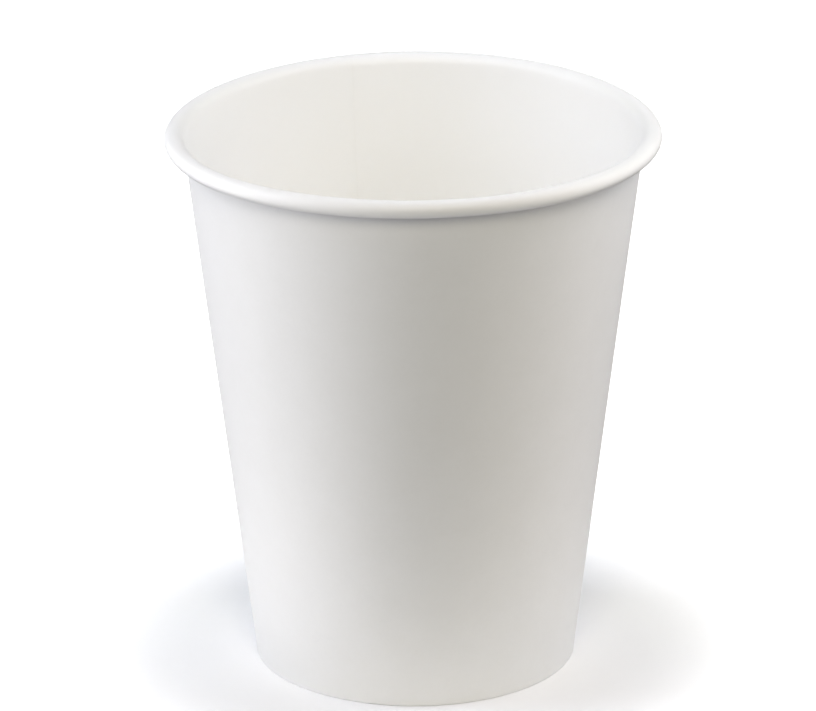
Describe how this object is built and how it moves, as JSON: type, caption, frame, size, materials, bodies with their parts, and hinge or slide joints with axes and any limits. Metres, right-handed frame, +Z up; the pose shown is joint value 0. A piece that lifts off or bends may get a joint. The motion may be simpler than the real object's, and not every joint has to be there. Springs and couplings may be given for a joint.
{
  "type": "paper cup",
  "caption": "Empty single-wall paper hot cup: tapered wrapped wall, rolled rim, and a recessed bottom clamped by the turned-in hem.",
  "frame": {"origin": "centre of the ring the cup stands on, in the plane of the table", "axes": "+Z up along the cup's axis; the side seam is at the back, just past +Y towards -X"},
  "size_m": [0.08, 0.08, 0.0901],
  "materials": {
    "cupstock": "satin",
    "bottomstock": "satin"
  },
  "bodies": {
    "root": {"sidewall": "cupstock", "base_disc": "bottomstock"}
  },
  "joints": []
}
